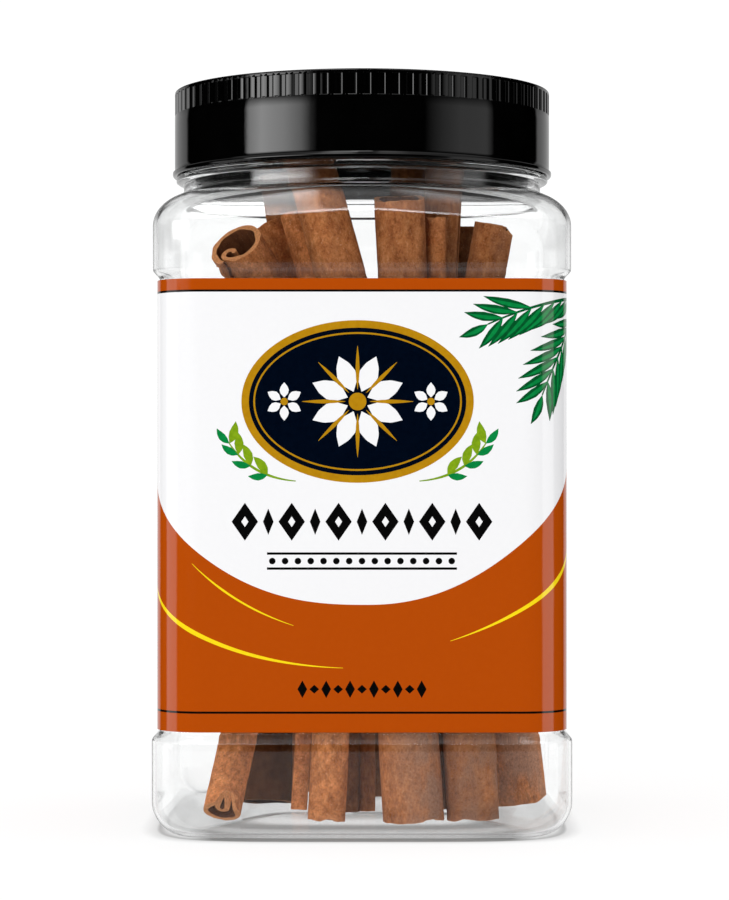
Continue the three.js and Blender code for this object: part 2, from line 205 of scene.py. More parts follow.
# Brightness of the surroundings for matt surfaces, of the wall behind, and of a soft box
# of level 1. Light that has been reflected more than once sees mostly wall.
AMBIENT = 0.75
BACKDROP = 1.06
BOX_LIGHT = 5.0
WALL_FOR_TRAPPED = 0.65

# What gloss reflects at eye level and above it, as compass angles from the camera's side,
# turning to the right, and shares of BOX_LIGHT.
EYE_LEVEL_BOXES = [
    (-180, 0.17), (-136, 0.17), (-133, 0.0), (-104, 0.0), (-99, 0.35), (-70, 0.35), (-66, 0.0),
    (52, 0.0), (56, 0.36), (86, 0.36), (90, 0.0), (133, 0.0), (136, 0.17), (180, 0.17),
]
RAISED_BOXES = [
    (-180, 0.13), (-136, 0.13), (-133, 0.0), (-75.5, 0.0), (-72.5, 1.70), (-63, 2.75),
    (-48, 2.15), (-37, 1.20), (-31, 0.2), (-27, 0.0), (38, 0.0), (50, 0.21), (62, 0.35),
    (81, 0.33), (87, 0.0), (133, 0.0), (136, 0.13), (180, 0.13),
]

# Where the boxes of each height take over from the ones below, how the raised ones fade
# upwards and what the floor adds, by heights from 0, straight down, to 1, straight up.
RAISED_START = [(0.538, 0.0), (0.552, 1.0)]
RAISED_FADE = [(0.575, 1.0), (0.67, 0.0)]
OVERHEAD_START = [(0.690, 0.0), (0.704, 1.0)]
LOW_GLOW = [(0.10, 0.12), (0.24, 0.0)]

# The box above the jar, from left to right, how it fades to the rear, and the bright rim
# that it has over a stretch of its lower edge.
OVERHEAD_BOX = [
    (0.30, 0.25), (0.37, 1.3), (0.486, 1.35), (0.491, 0.18), (0.57, 0.15), (0.60, 0.6),
    (0.66, 0.6), (0.73, 0.25),
]
OVERHEAD_FADE = [(0.485, 1.0), (0.515, 0.1)]
OVERHEAD_FOOT = 0.70
OVERHEAD_SLANT = 0.27
RIM_LIGHT = 2.2
RIM_LIGHT_HEIGHT = [(0.700, 0.0), (0.706, 1.0), (0.722, 1.0), (0.730, 0.0)]
RIM_LIGHT_WIDTH = [(0.446, 0.0), (0.452, 1.0), (0.552, 1.0), (0.558, 0.0)]

# How the floor glows outward from under the jar, in decimetres from its middle, and how
# far the glow is evened out towards the left and right, as long as it is under the jar.
# Under the jar this is painted light and painted contact shadow: darker rings near its foot
# and lighter rings for the clear base to show.
FLOOR_REACH = 3000.0
FLOOR_GLOW_AND_SHADOW = [
    (0.0, 0.60), (0.12, 0.64), (0.19, 0.95), (0.25, 0.92), (0.30, 0.38), (0.345, 0.34),
    (0.37, 0.55), (0.40, 0.55), (0.425, 0.16), (0.464, 0.13), (0.476, 0.20), (0.484, 0.60),
    (0.52, 0.80),
]
FLOOR_SIDE_GLOW = 0.70
FLOOR_SIDE_SHARE = [(0.34, 0.0), (0.40, 0.8)]
FLOOR_UNDER_JAR = [(0.462, 1.0), (0.482, 0.0)]

LAMP_AZIMUTH = -30
LAMP_DISTANCE = 1.2
LAMP_HEIGHT = 0.22
LAMP_SIZE = 0.5
LAMP_POWER = 3.9
LAMP_TARGET = Vector((0, 0, 0.09))

CAMERA_PLACE = (0, -0.676, 0.084)
CAMERA_LENS = 111.2
CAMERA_SHIFT = (2.5 / 900, 20 / 900)

# --- general helpers


def lerp(low, high, share):
    return low + (high - low) * share


def ease(shares):
    """Eases from 0 to 1 with level ends, for a number or an array."""
    shares = np.clip(shares, 0, 1)
    return shares * shares * (3 - 2 * shares)


def quarter_turns(steps):
    return [pi / 2 * i / steps for i in range(steps + 1)]


def add_object(name, data, place=(0, 0, 0)):
    thing = bpy.data.objects.new(name, data)
    thing.location = place
    bpy.context.scene.collection.objects.link(thing)
    return thing


def new_piece(name, points, faces, *materials):
    """A smooth mesh object from millimetre points and a list of faces."""
    mesh = bpy.data.meshes.new(name)
    mesh.from_pydata([tuple(p * MM) for p in np.asarray(points)], [], faces)
    mesh.update()
    mesh.polygons.foreach_set("use_smooth", [True] * len(mesh.polygons))
    for material in materials:
        mesh.materials.append(material)
    return add_object(name, mesh)


def loft_faces(rings, count):
    """Quads between rings of points that all hold the same count."""
    faces = []
    for low in range(0, (rings - 1) * count, count):
        high = low + count
        for i in range(count):
            j = (i + 1) % count
            faces.append((low + i, low + j, high + j, high + i))
    return faces


def closed_skin(rings):
    """Points and faces of a skin through rings, with a fan of triangles at each end."""
    count = len(rings[0])
    hubs = [[[0, 0, rings[end][0, 2]]] for end in (0, -1)]
    points = np.vstack(rings + hubs)
    first_hub = len(rings) * count
    last = first_hub - count
    faces = loft_faces(len(rings), count)
    for i in range(count):
        j = (i + 1) % count
        faces.append((first_hub, j, i))
        faces.append((first_hub + 1, last + i, last + j))
    return points, faces


# --- rounded plan

STEPS_PER_OCTANT = 22
CROWDING = 1.45


def ring_angles():
    """Angles round the jar, closer together at its corners."""
    angles = []
    for corner in (1, 3, 5, 7):
        for i in range(-STEPS_PER_OCTANT, STEPS_PER_OCTANT):
            off = copysign(abs(i / STEPS_PER_OCTANT) ** CROWDING, i)
            angles.append(pi / 4 * (corner + off))
    return np.array(angles)


ANGLES = ring_angles()


def square_radius(half, corner):
    """How far a square with rounded corners reaches from its middle, at each angle."""
    across = np.abs(np.cos(ANGLES))
    along = np.abs(np.sin(ANGLES))
    major = np.maximum(across, along)
    minor = np.minimum(across, along)
    straight = half - corner
    off_axis = straight * (major - minor)
    bend = np.sqrt(np.maximum(corner**2 - off_axis**2, 0))
    on_corner = straight * (major + minor) + bend
    return np.where(half * minor / major <= straight, half / major, on_corner)


def ring(radii, heights, angles=ANGLES):
    """Points round the upright axis. The radius may differ from angle to angle."""
    points = np.empty((len(angles), 3))
    points[:, 0] = radii * np.cos(angles)
    points[:, 1] = radii * np.sin(angles)
    points[:, 2] = heights
    return points


def band_radius(width, depth):
    """How far out the body of this width reaches, this deep in its skin."""
    corner = CORNER_RADIUS - (BODY_WIDTH - width) / 2 - depth
    return square_radius(width / 2 - depth, corner)


def band_ring(width, depth, height):
    return ring(band_radius(width, depth), height)


# --- jar


def step_rings(low_width, high_width, depth, low, high):
    """The soft step between two widths of the body, nearly as thick all the way."""
    steps = 12
    for i in range(steps + 1):
        share = i / steps
        width = lerp(low_width, high_width, ease(share))
        slope = 3 * share * (1 - share) * (high_width - low_width) / (high - low)
        facing = 1 / hypot(1, slope)
        height = lerp(low, high, share) + STEP_OFFSET * depth * slope * facing
        yield band_ring(width, depth * lerp(1, facing, STEP_OFFSET), height)


def edge_rings(depth):
    """The rounded lower edge of the body."""
    edge = BASE_EDGE_RADIUS - depth
    for turn in quarter_turns(16)[1:]:
        reach = edge * sin(turn) - BASE_EDGE_RADIUS
        radii = square_radius(BODY_WIDTH / 2 + reach, CORNER_RADIUS + reach)
        yield ring(radii, BASE_EDGE_RADIUS - edge * cos(turn))


def body_rings(depth):
    """The body from its lower edge to the foot of the neck, this deep in its skin."""
    yield from edge_rings(depth)
    for height in BASE_BAND_LEVELS:
        yield band_ring(BODY_WIDTH, depth, height)
    yield from step_rings(BODY_WIDTH, PANEL_WIDTH, depth, BASE_BAND_TOP, PANEL_BOTTOM)
    for i in range(1, 10):
        yield band_ring(PANEL_WIDTH, depth, lerp(PANEL_BOTTOM, PANEL_TOP, i / 10))
    yield from step_rings(PANEL_WIDTH, SHOULDER_WIDTH, depth, PANEL_TOP, SHOULDER_BAND_BOTTOM)
    for height in SHOULDER_BAND_LEVELS:
        yield band_ring(SHOULDER_WIDTH, depth, height)
    yield from shoulder_rings(depth)


def shoulder_rings(depth):
    """The shoulder rises in a quarter ellipse from the square band to the round neck."""
    rise = NECK_FOOT - SHOULDER_SPRING
    start = band_radius(SHOULDER_WIDTH, 0)
    within = band_radius(SHOULDER_WIDTH, depth)
    for turn in quarter_turns(26):
        inward = 1 - cos(turn)
        outward = cos(turn) / (start - NECK_RADIUS)
        upward = sin(turn) / rise
        size = np.hypot(outward, upward)
        radii = lerp(start, NECK_RADIUS, inward)
        radii = radii - lerp(start - within, depth, inward) * outward / size
        heights = SHOULDER_SPRING + rise * sin(turn) - depth * upward / size
        yield ring(radii, heights)


def outer_neck_rings():
    """The groove under the neck ring, the ring with its rounded foot and the finish."""
    bulge = NECK_RING_RADIUS - NECK_RADIUS
    crest = NECK_RING_FOOT + NECK_RING_FOOT_ROUND
    profile = [
        (NECK_RADIUS, NECK_FOOT + 0.1),
        (NECK_RADIUS, lerp(NECK_FOOT, NECK_RING_FOOT, 0.5)),
        (NECK_RADIUS, NECK_RING_FOOT - 0.06),
    ]
    for turn in quarter_turns(10):
        height = crest - (crest - NECK_RING_FOOT) * cos(turn)
        profile.append((NECK_RADIUS + bulge * sin(turn), height))
    profile += [
        (NECK_RING_RADIUS, NECK_RING_TOP - 0.15),
        (NECK_RING_RADIUS - 0.04, NECK_RING_TOP - 0.04),
        (NECK_RING_RADIUS - 0.15, NECK_RING_TOP),
        (FINISH_RADIUS + 0.3, NECK_RING_TOP),
        (FINISH_RADIUS, NECK_RING_TOP + 0.3),
        (FINISH_RADIUS, 160.0),
        (FINISH_RADIUS, RIM - 0.3),
        (FINISH_RADIUS - 0.3, RIM),
    ]
    return [ring(*place) for place in profile]


def inner_neck_rings():
    """The straight inside of the neck, a little narrower behind the thread."""
    bore = FINISH_RADIUS - FINISH_WALL
    neck = NECK_RADIUS - WALL
    step = NECK_RING_TOP - 0.3
    profile = [
        (neck, NECK_FOOT - WALL + 0.08),
        (neck, lerp(NECK_FOOT, NECK_RING_FOOT, 0.4)),
        (neck, step),
    ]
    for share in (0.25, 0.5, 0.75, 1.0):
        profile.append((lerp(neck, bore, ease(share)), lerp(step, step + 1.9, share)))
    profile += [(bore, 163.0), (bore, RIM - 0.3), (bore + 0.3, RIM)]
    return [ring(*place) for place in profile]


def base_rings(depth):
    """The base from its middle out to the foot of its rounded edge: a low soft dome."""
    foot_half = BODY_WIDTH / 2 - BASE_EDGE_RADIUS
    corner = CORNER_RADIUS - BASE_EDGE_RADIUS
    steps = 22
    for i in range(1, steps + 1):
        share = i / steps
        rise = PUSH_UP * (1 - ease((share - DOME_FLAT) / (1 - DOME_FLAT)))
        yield ring(square_radius(foot_half * share, corner * share), depth + rise)


def make_jar(material):
    outside = [*base_rings(0.0), *body_rings(0.0), *outer_neck_rings()]
    inside = [*base_rings(WALL), *body_rings(WALL), *inner_neck_rings()]
    return new_piece("jar_vessel", *closed_skin(outside + inside[::-1]), material)


# --- cap


def rib_heights():
    """How far the skin stands out of the rib grooves, all round."""
    phase = (np.arange(RIB_COUNT * RIB_STEPS) % RIB_STEPS) / RIB_STEPS
    rise = np.clip(phase / RIB_FLANK, 0, 1)
    fall = np.clip((RIB_SHARE + RIB_FLANK - phase) / RIB_FLANK, 0, 1)
    crest = np.minimum(rise, fall)
    across = (phase - (RIB_SHARE + RIB_FLANK) / 2) / (RIB_SHARE + RIB_FLANK) * 2
    crown = RIB_CROWN * (1 - np.clip(across, -1, 1) ** 2)
    return (RIB_DEPTH - RIB_CROWN + crown) * ease(crest)


def make_cap(gloss, matt):
    """The lid as one skin: over the ribbed outside, round the bead and up the matt inside."""
    ribbed = CAP_RADIUS - RIB_DEPTH + rib_heights()
    inner = CAP_RADIUS - CAP_WALL
    ceiling = CAP_TOP - CAP_WALL
    rib_middle = lerp(RIB_TOP, RIB_BOTTOM, 0.5)

    def at_height(height, *radii):
        return [(radius, height) for radius in radii]

    def at_radius(radius, *heights):
        return [(radius, height) for height in heights]

    profile = at_height(CAP_TOP, HUB_RADIUS, 15.0, 30.0, 40.0, 43.4, 44.8)
    for turn in quarter_turns(6):
        radius = CAP_RADIUS - CAP_EDGE + CAP_EDGE * sin(turn)
        profile.append((radius, CAP_TOP - CAP_EDGE + CAP_EDGE * cos(turn)))
    profile += at_radius(CAP_RADIUS, RIB_TOP + 0.06)
    profile += at_radius(
        ribbed, RIB_TOP, RIB_TOP - 0.15, rib_middle, RIB_BOTTOM + 0.2, RIB_BOTTOM + 0.05
    )
    profile += at_radius(CAP_RADIUS - 0.03, RIB_BOTTOM)
    profile += at_radius(CAP_RADIUS, RIB_BOTTOM - 0.15, 167.0, 163.0, 159.5, 157.0, CAP_BEAD_TOP)
    profile += at_radius(CAP_RADIUS + 0.04, CAP_BEAD_TOP - 0.08)
    profile += [(CAP_BEAD_RADIUS - inset, height) for height, inset in CAP_BEAD]
    profile += at_height(CAP_BOTTOM, CAP_BEAD_RADIUS - 0.5, inner + 0.3)
    profile += at_radius(inner, CAP_BOTTOM + 0.3, 160.0, 167.0, ceiling - 0.5)
    profile += at_height(ceiling, inner - 0.5, 40.0, 25.0, HUB_RADIUS)

    angles = np.arange(len(ribbed)) * TAU / len(ribbed)
    points, faces = closed_skin([ring(*place, angles) for place in profile])
    piece = new_piece("screw_lid", points, [face[::-1] for face in faces], gloss, matt)
    piece.data.set_sharp_from_angle(angle=radians(40))
    for face in piece.data.polygons:
        within = hypot(face.center.x, face.center.y) < (CAP_RADIUS - 1.2) * MM
        if within and face.center.z < (CAP_TOP - 0.7) * MM:
            face.material_index = 1
    return piece


# --- label
#
# The label is one film, laid out flat: s runs round the jar from the middle of the front,
# z is the height. It is cut into triangles along the outlines of its print.

LABEL_HALF = LABEL_WIDTH / 2
LABEL_CORNER = CORNER_RADIUS - (BODY_WIDTH - LABEL_WIDTH) / 2
FLAT_HALF = LABEL_HALF - LABEL_CORNER
CORNER_RUN = LABEL_CORNER * pi / 2
SIDE_RUN = 2 * FLAT_HALF + CORNER_RUN
LABEL_RUN = 4 * SIDE_RUN
SEAM_GAP = 0.06

# Inks by number. A label_inks() shape covers the ones before it. BACK is the film itself.
ORANGE, WHITE, BLACK, GOLD, NAVY, GREEN, FERN, LIME, YELLOW, BACK = range(10)

LINE_LOW = 29.1
LINE_HIGH = 124.6
LINE_WIDTH = 0.5
FIELD_BOTTOM = 53.5
FIELD_MIDDLE = 1.3
FIELD_TURN = 50.0
EMBLEM_MIDDLE = (-1.0, 99.5)
EMBLEM_HALF = (26.3, 18.4)
SMALL_ROSETTE_OFF = 16.6
TITLE_HEIGHT = 72.3
SUBTITLE_HEIGHT = 63.4
FOOT_HEIGHT = 34.4


def wrap(s, z, depth=0.0):
    """Where a place on the flat label lies on the jar, this deep in the film."""
    quarter = int(floor((s + SIDE_RUN / 2) / SIDE_RUN))
    local = s - quarter * SIDE_RUN
    half = LABEL_HALF - depth
    corner = LABEL_CORNER - depth
    if abs(local) <= FLAT_HALF:
        x, y = local, -half
    else:
        turn = (abs(local) - FLAT_HALF) / LABEL_CORNER
        x = copysign(FLAT_HALF + corner * sin(turn), local)
        y = -(half - corner) - corner * cos(turn)
    angle = quarter * pi / 2
    return (x * cos(angle) - y * sin(angle), x * sin(angle) + y * cos(angle), z)


def ellipse(s, z, half_s, half_z, count):
    turns = [TAU * i / count for i in range(count)]
    return [(s + half_s * cos(turn), z + half_z * sin(turn)) for turn in turns]


def bar(low_s, high_s, middle, width):
    low, high = middle - width / 2, middle + width / 2
    return [(low_s, low), (high_s, low), (high_s, high), (low_s, high)]


def lozenge(s, z, half_s, half_z):
    return [(s - half_s, z), (s, z - half_z), (s + half_s, z), (s, z + half_z)]


def spread(count, pitch):
    """Places of a row of this many, with its middle at 0."""
    return [(i - (count - 1) / 2) * pitch for i in range(count)]


def bowl(s):
    """The white field's lower edge seen from the front: fuller on the left."""
    off = s - FIELD_MIDDLE
    if off > 0:
        return FIELD_BOTTOM + 8.7 * (off / 28.0) ** 2.14
    return FIELD_BOTTOM + 9.1 * (-off / 34.8) ** 2.6


def field_edge(s):
    """Height of the white field's lower edge. The side faces carry a crest of orange."""
    from_front = min(abs(s), LABEL_RUN / 2 - abs(s))
    height = bowl(copysign(min(from_front, FIELD_TURN), s))
    if from_front > FIELD_TURN:
        run = LABEL_RUN / 4 - FIELD_TURN
        share = (from_front - FIELD_TURN) / run
        height += 1.26 * run * (share - share**3 / 3)
    return height


def white_field():
    steps = 260
    half = LABEL_RUN / 2 - SEAM_GAP
    top = LINE_HIGH - LINE_WIDTH / 2
    lower = [lerp(-half, half, i / steps) for i in range(steps + 1)]
    return [(s, field_edge(s)) for s in lower] + [(half, top), (-half, top)]


def curve_at(points, t):
    """A place on the curve that leaves its first point for its second and ends at its third."""
    weights = ((1 - t) ** 2, 2 * t * (1 - t), t * t)
    return sum(w * np.array(p, float) for w, p in zip(weights, points))


def stroke(points, widths, steps=26):
    """A tapered brush stroke along a curve, with its widths from start to end."""
    line = np.array([curve_at(points, i / steps) for i in range(steps + 1)])
    ahead = np.gradient(line, axis=0)
    normal = np.stack([-ahead[:, 1], ahead[:, 0]], 1)
    normal /= np.linalg.norm(normal, axis=1)[:, None]
    shares = np.linspace(0, 1, steps + 1)
    width = np.interp(shares, np.linspace(0, 1, len(widths)), widths) / 2
    side = normal * width[:, None]
    return [tuple(p) for p in line + side] + [tuple(p) for p in (line - side)[::-1]]


def leaf(s, z, angle, length, width, bend=0.0):
    """A slim leaf from its foot at (s, z), pointing at an angle in degrees."""
    along = np.array([cos(radians(angle)), sin(radians(angle))])
    aside = np.array([-along[1], along[0]])
    foot = np.array([s, z])
    middle = foot + along * length / 2 + aside * bend
    tip = foot + along * length
    control = 2 * middle - (foot + tip) / 2
    return stroke((foot, control, tip), (0.08, width * 0.8, width, width * 0.7, 0.08), 14)


def rosette(ink, s, z, petals, reach, width, start=0.0):
    """Petals round an open middle."""
    hollow = reach * 0.22
    for i in range(petals):
        angle = start + 360 * i / petals
        turn = radians(angle)
        foot = (s + hollow * cos(turn), z + hollow * sin(turn))
        yield ink, leaf(*foot, angle, reach - hollow, width)


def emblem_inks():
    """A plain oval badge with a gold rim, a large rosette and a small one on each side."""
    s0, z0 = EMBLEM_MIDDLE
    for ink, inset in ((GOLD, 0.0), (NAVY, 1.7), (GOLD, 2.7), (NAVY, 3.1)):
        half_s, half_z = EMBLEM_HALF
        yield ink, ellipse(s0, z0, half_s - inset, half_z - inset, 96)
    yield from rosette(WHITE, s0, z0, 8, 11.0, 4.4, 22.5)
    yield from rosette(GOLD, s0, z0, 8, 12.6, 0.9)
    yield GOLD, ellipse(s0, z0, 2.0, 2.0, 28)
    for s in (s0 - SMALL_ROSETTE_OFF, s0 + SMALL_ROSETTE_OFF):
        yield from rosette(WHITE, s, z0, 6, 4.3, 2.1, 30.0)
        yield GOLD, ellipse(s, z0, 0.85, 0.85, 18)


def sprig_inks():
    """Two small twigs that lie beside the badge's foot."""
    s0, z0 = EMBLEM_MIDDLE
    for side in (-1, 1):
        stem = [(s0 + side * off, z0 - drop) for off, drop in ((14, 18.0), (24, 17.2), (29, 9.5))]
        yield LIME, stroke(stem, (0.25, 0.6, 0.6, 0.3))
        for i, share in enumerate((0.35, 0.6, 0.82, 1.0)):
            foot = curve_at(stem, share)
            lean = 90 - side * (64 - 18 * i)
            yield LIME, leaf(*foot, lean + side * 26, 5.2, 2.1, 0.3 * side)
            yield FERN, leaf(*foot, lean - side * 30, 4.4, 1.7, -0.3 * side)


def corner_spray_inks():
    """A spray of slim leaves on two arching stems from the label's top right corner."""
    stems = [
        ([(56, 123.0), (44, 124), (28.5, 117)], 9),
        ([(56, 120), (46.5, 114), (41, 101)], 8),
    ]
    for points, pairs in stems:
        yield GREEN, stroke(points, (0.9, 0.8, 0.6, 0.35))
        start, bend, end = (np.array(p, float) for p in points)
        for i in range(1, pairs + 1):
            t = i / pairs
            foot = curve_at(points, t)
            ahead = 2 * (1 - t) * (bend - start) + 2 * t * (end - bend)
            heading = degrees(atan2(ahead[1], ahead[0]))
            size = 10.5 * sin(pi * (0.22 + 0.6 * t)) + 1.5
            for turn in (30, -30) if i < pairs else (0,):
                angle = heading + turn
                if foot[1] + size * sin(radians(angle)) < LINE_HIGH - 1.0:
                    yield GREEN, leaf(*foot, angle, size, 2.1, 0.3)
                    yield FERN, leaf(*foot, angle + 1.5, size * 0.86, 0.9, 0.3)


def title_inks():
    """Rows of plain ornament where a pack has its lettering."""
    for i, s in enumerate(spread(11, 5.3)):
        if i % 2 == 0:
            yield BLACK, lozenge(s, TITLE_HEIGHT, 3.0, 4.3)
            yield WHITE, lozenge(s, TITLE_HEIGHT, 0.8, 1.2)
        else:
            yield BLACK, lozenge(s, TITLE_HEIGHT, 1.2, 3.0)
    for offset in (-1.7, 1.7):
        yield BLACK, bar(-21.5, 21.5, SUBTITLE_HEIGHT + offset, 0.55)
    for s in spread(15, 2.9):
        yield BLACK, ellipse(s, SUBTITLE_HEIGHT, 0.75, 0.75, 18)
    for i, s in enumerate(spread(11, 2.7)):
        yield BLACK, lozenge(s, FOOT_HEIGHT, 1.1, 1.0 if i % 2 else 2.0)


def label_inks():
    """Every printed shape as (ink, outline), from the bottom ink to the top one."""
    half = LABEL_RUN / 2
    yield WHITE, white_field()
    for height in (LINE_LOW, LINE_HIGH):
        yield BLACK, bar(-half, half, height, LINE_WIDTH)
    for points, widths in (
        ([(-38.5, 62.8), (-29, 53.2), (-15.5, 48.8)], (0.1, 0.5, 0.4, 0.1)),
        ([(-52, 57.5), (-35, 40.2), (-4.3, 39.2)], (0.7, 1.05, 0.7, 0.1)),
        ([(53, 67), (42, 52.5), (20.0, 45.3)], (0.6, 1.1, 0.7, 0.1)),
    ):
        yield YELLOW, stroke(points, widths)
    for group in (title_inks, emblem_inks, sprig_inks, corner_spray_inks):
        yield from group()


def inside_many(points, outline):
    """Which points lie inside an outline, by counting crossings."""
    x, y = points.T
    inside = np.zeros(len(points), bool)
    for (px, py), (qx, qy) in zip([outline[-1], *outline], outline):
        if qy != py:
            crosses = (qy > y) != (py > y)
            inside ^= crosses & (x < (px - qx) * (y - qy) / (py - qy) + qx)
    return inside


def label_cuts():
    """Upright cuts, close together where the film bends round a corner."""
    cuts = []
    for quarter in range(-2, 3):
        start = quarter * SIDE_RUN + FLAT_HALF
        cuts += [start + CORNER_RUN * i / 16 for i in range(17)]
        cuts += [quarter * SIDE_RUN - FLAT_HALF * i / 3 for i in (-2, -1, 0, 1, 2)]
    limit = LABEL_RUN / 2 - 1.0
    return sorted(s for s in cuts if abs(s) < limit)


def make_label(materials):
    """Lays out the flat film, cuts it up along its print and gives each triangle its ink."""
    half = LABEL_RUN / 2 - SEAM_GAP / 2
    inks = list(label_inks())
    points, edges = [], []

    def add_loop(outline):
        first, count = len(points), len(outline)
        points.extend(Vector(p) for p in outline)
        edges.extend((first + i, first + (i + 1) % count) for i in range(count))

    def add_line(*ends):
        edges.append((len(points), len(points) + 1))
        points.extend(Vector(p) for p in ends)

    add_loop([(-half, LABEL_BOTTOM), (half, LABEL_BOTTOM), (half, LABEL_TOP), (-half, LABEL_TOP)])
    for s in label_cuts():
        add_line((s, LABEL_BOTTOM), (s, LABEL_TOP))
    for i in range(1, 12):
        height = lerp(LABEL_BOTTOM, LABEL_TOP, i / 12)
        add_line((-half, height), (half, height))
    for _, outline in inks:
        add_loop([(min(max(s, -half), half), z) for s, z in outline])
    flat, _, faces, *_ = geometry.delaunay_2d_cdt(points, edges, [], 0, 1e-4)
    flat = np.array([tuple(p) for p in flat])
    middles = np.array([flat[list(f)].mean(0) for f in faces])
    ink_of = np.full(len(faces), ORANGE)
    for ink, outline in inks:
        ink_of[inside_many(middles, outline)] = ink
    return film(flat, [tuple(f) for f in faces], ink_of.tolist(), materials)


def film(flat, faces, ink_of, materials):
    """Gives the flat print its thickness and wraps it round the jar."""
    count = len(flat)
    outer = [wrap(s, z) for s, z in flat]
    inner = [wrap(s, z, LABEL_THICKNESS) for s, z in flat]
    solid_faces, inks, rim = [], [], {}
    for face, ink in zip(faces, ink_of):
        a, b, c = (flat[i] for i in face[:3])
        if (b[0] - a[0]) * (c[1] - a[1]) - (b[1] - a[1]) * (c[0] - a[0]) < 0:
            face = face[::-1]
        solid_faces += [face, tuple(count + i for i in face[::-1])]
        inks += [ink, BACK]
        for i, j in zip(face, face[1:] + face[:1]):
            if (j, i) in rim:
                del rim[(j, i)]
            else:
                rim[(i, j)] = True
    solid_faces += [(j, i, count + i, count + j) for i, j in rim]
    inks += [BACK] * len(rim)
    piece = new_piece("wrap_label", outer + inner, solid_faces, *materials)
    piece.data.polygons.foreach_set("material_index", inks)
    piece.data.set_sharp_from_angle(angle=radians(35))
    return piece


# --- cinnamon quills


def make_draw(seed):
    """A plain repeatable random draw from 0 to 1."""
    state = [seed]

    def draw():
        state[0] = (state[0] * 1664525 + 1013904223) & 0xFFFFFFFF
        return state[0] / 2**32

    return draw


def stick_axis(lean):
    right, back = (tan(radians(angle)) for angle in lean)
    return np.array([right, back, 1.0]) / sqrt(right**2 + back**2 + 1)


class Stick:
    """A quill. What its row doesn't say is as below, and its bark follows its diameter."""

    flip = False
    hook = (0.9, 0.42)
    ragged = 0.2
    foot_dip = None
    tip_dip = None
    tone_and_shade = None
    grey = 0.2
    grey_side = 315

    def __init__(self, foot, lean, length, diameter, roll, seam, **traits):
        self.foot = np.array(foot, float)
        self.axis = stick_axis(lean)
        self.length = length
        self.diameter = diameter
        self.roll = roll
        self.seam = radians(seam)
        self.bark = min(BARK, diameter / 4)
        for name, value in traits.items():
            setattr(self, name, value)

    def at(self, height):
        return self.foot + self.axis * ((height - self.foot[2]) / self.axis[2])

    def cross_axes(self):
        """Two directions square to the quill's own, the first one towards its seam."""
        across = np.cross([0.0, 1.0, 0.0], self.axis)
        across /= np.linalg.norm(across)
        up = np.cross(self.axis, across)
        first = across * cos(self.seam) + up * sin(self.seam)
        return first, np.cross(self.axis, first)


def window_sticks(rows, from_tip):
    sticks = []
    for place, lean, diameter, roll, seam, traits in rows:
        foot = np.array(place, float)
        if from_tip:
            foot = foot - stick_axis(lean) * STICK_LENGTH
        sticks.append(Stick(foot, lean, STICK_LENGTH, diameter, roll, seam, **traits))
    return sticks


def is_clear(stick, others):
    levels = 6
    top = stick.foot[2] + stick.length
    for other in others:
        other_top = other.foot[2] + other.length * other.axis[2]
        reach = (stick.diameter + other.diameter / other.axis[2]) / 2 + FILL_GAP
        for i in range(levels + 1):
            height = lerp(stick.foot[2], top, i / levels)
            level = other.foot[2] <= height <= other_top
            if level and np.linalg.norm(stick.at(height) - other.at(height)) < reach:
                return False
    return True


def fill(sticks, rule):
    """Upright quills between the ones that are there, wherever a draw finds room."""
    draw = make_draw(rule["seed"])
    taken = list(sticks)
    added = []
    for i in range(FILL_TRIES):
        block_x, block_y = rule["blocks"][i % len(rule["blocks"])]
        diameter = lerp(*FILL_DIAMETER, draw())
        x = lerp(block_x[0] + diameter / 2, block_x[1] - diameter / 2, draw())
        y = lerp(block_y[0] + diameter / 2, block_y[1] - diameter / 2, draw())
        lean = (lerp(-FILL_LEAN, FILL_LEAN, draw()), lerp(-FILL_LEAN, 0, draw()))
        length = lerp(*rule["lengths"], draw())
        seam = 360 * draw()
        roll = (OPEN, CURLED, DOUBLE)[i % 3]
        candidate = Stick((x, y, rule["floor"]), lean, length, diameter, roll, seam)
        if is_clear(candidate, taken):
            taken.append(candidate)
            if x + diameter / 2 < rule["right_edges"][int(y > 0)]:
                added.append(candidate)
    return added


def polar(radii, turns):
    """Points at these distances from the middle, the angles in whole turns."""
    return np.stack([radii * np.cos(TAU * turns), radii * np.sin(TAU * turns)], 1)


def curl_points(middle, start, end, drop, hook, count):
    """Part of a roll from turn to turn, with its far edge hooked on inwards."""
    hook_turn, hook_share = hook
    tight = middle * hook_share
    outer_run = (end - start) * TAU * middle
    hook_run = hook_turn * TAU * tight * 1.25
    outer_count = max(int(count * outer_run / (outer_run + hook_run)), 8)
    hook_count = count - outer_count
    turns = np.linspace(start, end, outer_count)
    radii = middle - drop * ease((turns - start - 0.45) / 0.55)
    outer = polar(radii, turns)
    heading = TAU * end + pi / 2
    here = outer[-1]
    inner = []
    for i in range(hook_count):
        bend = lerp(radii[-1], tight, ease((i + 1) / hook_count * 3.5))
        step = hook_run / hook_count
        heading += step / bend
        here = here + step * np.array([cos(heading), sin(heading)])
        inner.append(here)
    return np.vstack([outer, inner])


def roll_line(stick, bark, count):
    """The middle line of a rolled sheet of bark, seen from its end, as (x, y) points."""
    middle = stick.diameter / 2 - bark / 2
    mirror = np.array([1.0, -1.0])
    if stick.roll == OPEN:
        turns = np.linspace(0.012, 0.972, count)
        line = polar(middle - 0.35 * bark * np.clip((turns - 0.8) / 0.2, 0, 1) ** 2, turns)
    elif stick.roll == CURLED:
        line = curl_points(middle, 0.0, 1.0, bark + 0.25, stick.hook, count)
    else:
        half = curl_points(middle, 0.5, 0.965, 0.0, stick.hook, count // 2)
        line = np.vstack([half[::-1] * mirror, half[1:]])
    return line[::-1] * mirror if stick.flip else line


